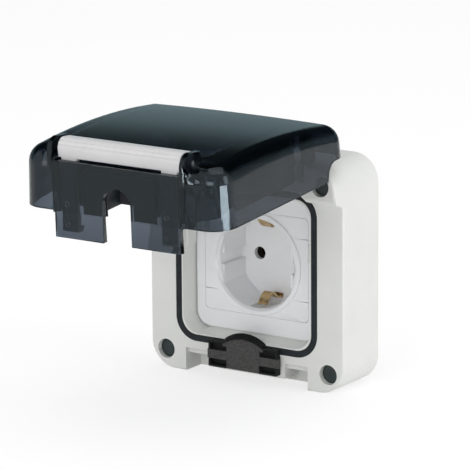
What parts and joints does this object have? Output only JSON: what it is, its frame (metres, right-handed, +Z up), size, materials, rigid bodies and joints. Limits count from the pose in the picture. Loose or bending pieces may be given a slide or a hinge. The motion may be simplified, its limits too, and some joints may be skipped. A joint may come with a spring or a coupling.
{
  "type": "weatherproof socket outlet",
  "caption": "Flush wall socket with a round earthed well in a grey frame, and a smoked hinged lid with latch bar and cable slot, standing open.",
  "frame": {"origin": "on the wall plane, at the middle of the four wall screw holes, behind the centre of the well", "axes": "+Y into the wall, so the front faces -Y; +Z up; +X to the right seen from the front"},
  "size_m": [0.1, 0.1441, 0.1195],
  "materials": {
    "frame_plastic": "fine satin moulded plastic, light grey",
    "insert_plastic": "satin thermoset, light grey",
    "smoked_plastic": "smoked see-through plastic, polished",
    "seal_rubber": "dark soft rubber, matt",
    "black_rubber": "black rubber, matt",
    "charcoal_plastic": "charcoal moulded plastic, satin",
    "cap_plastic": "dark grey moulded plastic, satin",
    "latch_plastic": "light grey moulded plastic with fine lengthwise lines",
    "block_plastic": "thermoset, pale grey",
    "contact_brass": "rolled brass, bare",
    "steel": "zinc plated steel"
  },
  "bodies": {
    "base": {"frame_housing": "frame_plastic", "wall_gasket": "seal_rubber", "lid_gasket": "seal_rubber", "insert_plate": "insert_plastic", "socket_cup": "insert_plastic", "base_block": "block_plastic", "line_contact": "contact_brass", "neutral_contact": "contact_brass", "earth_strap": "contact_brass", "line_terminal": "contact_brass", "neutral_terminal": "contact_brass", "earth_terminal": "contact_brass", "terminal_screws": "steel", "base_screws": "steel", "screw_cap_top_left": "cap_plastic", "screw_cap_top_right": "cap_plastic", "screw_cap_bottom_left": "cap_plastic", "screw_cap_bottom_right": "cap_plastic", "cable_seal_lower": "black_rubber", "seal_clip": "charcoal_plastic", "hinge_pin_left": "steel", "hinge_pin_right": "steel"},
    "lid": {"lid_shell": "smoked_plastic", "cable_seal_upper": "black_rubber", "latch_rod": "steel"},
    "latch": {"latch_bar": "latch_plastic"}
  },
  "joints": [
    {"name": "lid_hinge", "type": "hinge", "parent": "base", "child": "lid", "pos_m": [0, -0.0279, 0.0456], "axis": [1, 0, 0], "range_deg": [-10, 85.5]},
    {"name": "latch_hinge", "type": "hinge", "parent": "lid", "child": "latch", "pos_m": [0, -0.11654, 0.06561], "axis": [1, 0, 0], "range_deg": [0, 4.5]}
  ]
}
